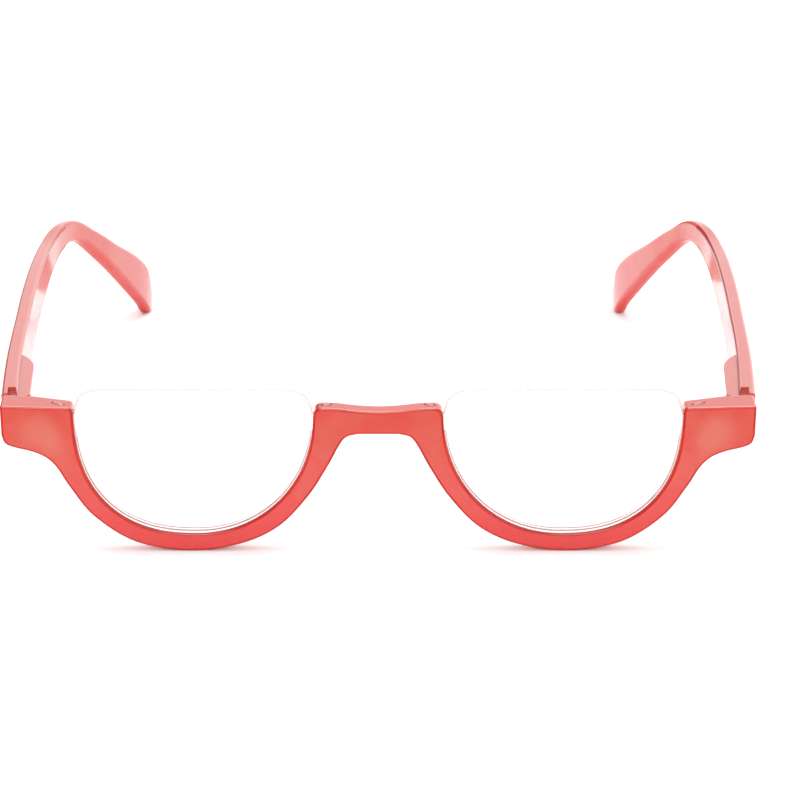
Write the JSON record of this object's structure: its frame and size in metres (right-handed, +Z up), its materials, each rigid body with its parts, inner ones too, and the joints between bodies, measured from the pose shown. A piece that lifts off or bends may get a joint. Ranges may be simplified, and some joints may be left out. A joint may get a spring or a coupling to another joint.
{
  "type": "reading glasses",
  "caption": "Half-moon reading glasses in translucent coral plastic, with lenses open along the top, cord-held, and folding temples on spring hinges.",
  "frame": {"origin": "on the table, at the centre of the open glasses' bounding box", "axes": "+Z up, +Y from the front towards the temples' ear ends, +X towards the wearer's left; open and resting on the rims and the tips of the temples"},
  "size_m": [0.1378, 0.1316, 0.0321],
  "materials": {
    "coral_plastic": "polished, slightly see-through coral red",
    "lens_resin": "clear and polished, with a frosted ground edge",
    "nylon": "clear to milky cord",
    "hinge_steel": "plain nickel silver or steel"
  },
  "bodies": {
    "front": {"front_frame": "coral_plastic", "lens_left": "lens_resin", "lens_right": "lens_resin", "lens_liner_left": "nylon", "lens_liner_right": "nylon", "lens_cord_left": "nylon", "lens_cord_right": "nylon", "hinge_leaf_left": "hinge_steel", "hinge_leaf_right": "hinge_steel", "hinge_screw_left": "hinge_steel", "hinge_screw_right": "hinge_steel"},
    "slider_left": {"spring_slider_left": "hinge_steel", "spring_nut_left": "hinge_steel"},
    "temple_left": {"temple_left": "coral_plastic", "spring_bush_left": "hinge_steel", "hinge_spring_left": "hinge_steel"},
    "slider_right": {"spring_slider_right": "hinge_steel", "spring_nut_right": "hinge_steel"},
    "temple_right": {"temple_right": "coral_plastic", "spring_bush_right": "hinge_steel", "hinge_spring_right": "hinge_steel"}
  },
  "joints": [
    {"name": "temple_fold_left", "type": "hinge", "parent": "front", "child": "slider_left", "pos_m": [0.0631, -0.05831, 0.02567], "axis": [0, -0.0279, 0.9996], "range_deg": [-10, 85]},
    {"name": "spring_slide_left", "type": "slide", "parent": "slider_left", "child": "temple_left", "axis": [0.0523, 0.9982, 0.0279], "range_m": [0, 0.0009], "stiffness_N_per_m": 3000, "deforming": ["hinge_spring_left"]},
    {"name": "temple_fold_right", "type": "hinge", "parent": "front", "child": "slider_right", "pos_m": [-0.0631, -0.05831, 0.02567], "axis": [0, 0.0279, -0.9996], "range_deg": [-10, 76]},
    {"name": "spring_slide_right", "type": "slide", "parent": "slider_right", "child": "temple_right", "axis": [-0.0523, 0.9982, 0.0279], "range_m": [0, 0.0009], "stiffness_N_per_m": 3000, "deforming": ["hinge_spring_right"]}
  ]
}
